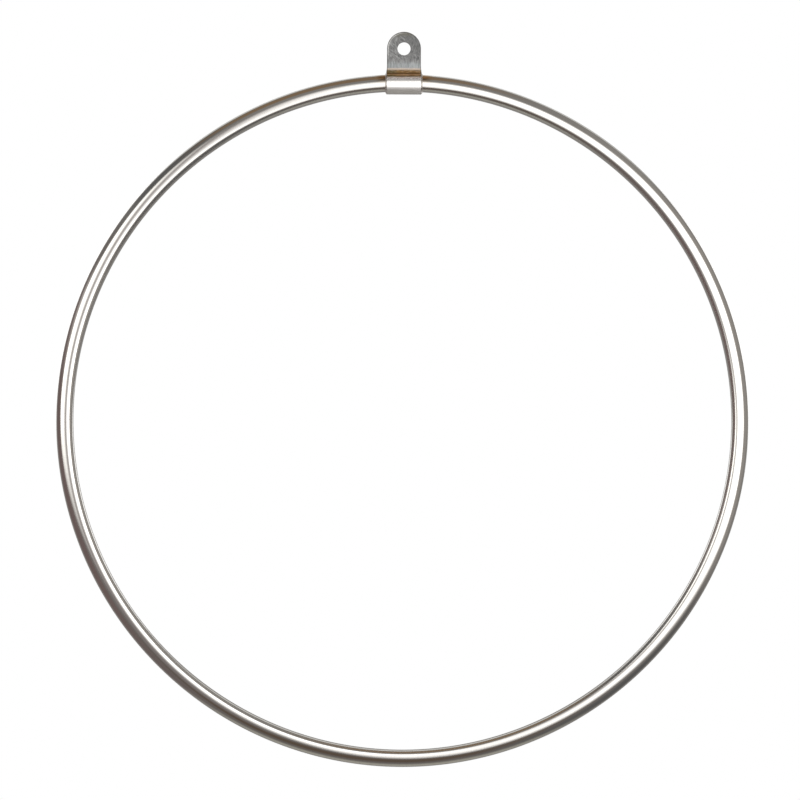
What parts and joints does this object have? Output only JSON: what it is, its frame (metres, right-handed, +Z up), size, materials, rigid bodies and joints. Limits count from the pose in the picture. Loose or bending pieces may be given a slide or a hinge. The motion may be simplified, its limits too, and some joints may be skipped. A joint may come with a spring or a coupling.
{
  "type": "hanging hoop frame",
  "caption": "Round steel tube hoop with a folded plate tab welded round its top; the eye in the tab hangs it as a large wreath or floral frame, or as an aerial hoop.",
  "frame": {"origin": "centre of the hanging eye, midway between the tab's two leaves", "axes": "+Z up, from the hoop's centre to the eye; +Y along the hoop's axis, from its front to its back; +X to the right seen from the front"},
  "size_m": [1, 0.0322, 1.062],
  "materials": {
    "tube_steel": "bright drawn tube, fine grain along its length",
    "plate_steel": "ground plate, duller than the tube",
    "weld_steel": "weld metal, ground flush on the tab's edge",
    "sleeve_steel": "plain tube, hidden inside the hoop"
  },
  "bodies": {
    "root": {"hoop_tube": "tube_steel", "joint_sleeve": "sleeve_steel", "butt_weld": "weld_steel", "plug_weld_left": "weld_steel", "plug_weld_right": "weld_steel", "hanging_tab": "plate_steel", "leaf_seam_weld": "weld_steel", "strap_weld_left": "weld_steel", "strap_weld_right": "weld_steel"}
  },
  "joints": []
}
